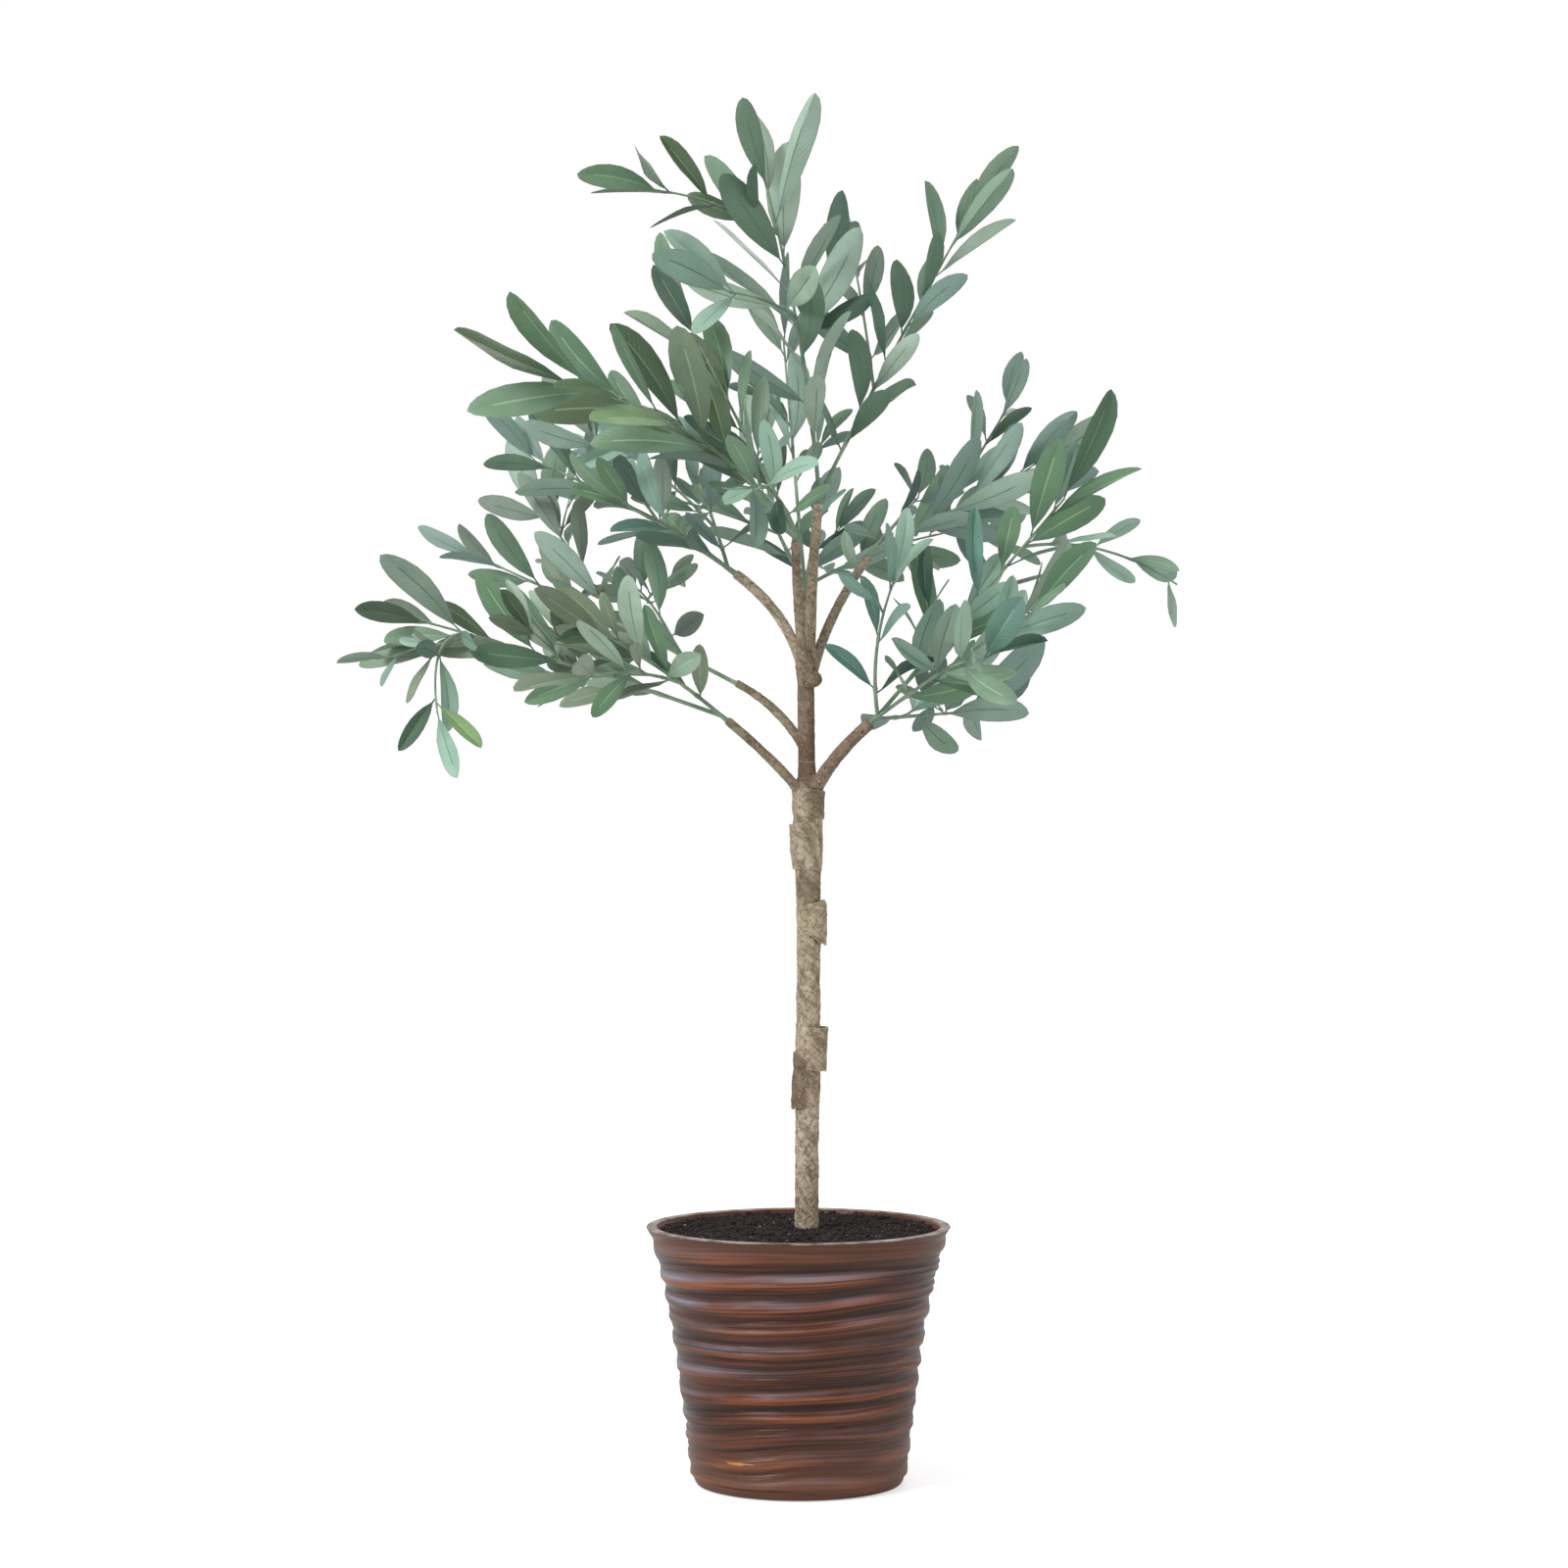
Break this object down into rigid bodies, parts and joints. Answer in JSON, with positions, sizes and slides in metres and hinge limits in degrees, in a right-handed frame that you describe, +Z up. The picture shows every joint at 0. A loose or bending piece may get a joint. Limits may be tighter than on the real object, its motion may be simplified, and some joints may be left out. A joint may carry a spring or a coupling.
{
  "type": "artificial potted olive tree",
  "caption": "Artificial olive tree with a slim wrapped trunk, open spreading crown of narrow grey-green leaves, in a round ridged pot filled with soil.",
  "frame": {"origin": "centre of the pot's flat underside", "axes": "+Z up along the trunk, +X to the right of the front view, +Y away from the viewer"},
  "size_m": [0.7043, 0.6222, 1.1962],
  "materials": {
    "pot_glaze": "brown and red-brown wash over wound ridges, satin",
    "soil": "near-black crumbly potting mix",
    "bark": "matte crinkled paper bark, khaki and tan",
    "foliage": "matte printed cloth leaves, grey-green to teal"
  },
  "bodies": {
    "root": {"pot": "pot_glaze", "soil": "soil", "trunk": "bark", "bough_lower_left": "bark", "bough_lower_right": "bark", "bough_middle_left": "bark", "bough_leader": "bark", "bough_upper_left": "bark", "bough_centre_left": "bark", "bough_upper_right": "bark", "bough_back": "bark", "foliage_leader": "foliage", "foliage_centre_left": "foliage", "foliage_upper_left": "foliage", "foliage_middle_left": "foliage", "foliage_lower_left": "foliage", "foliage_upper_right": "foliage", "foliage_lower_right": "foliage", "foliage_back": "foliage"}
  },
  "joints": []
}
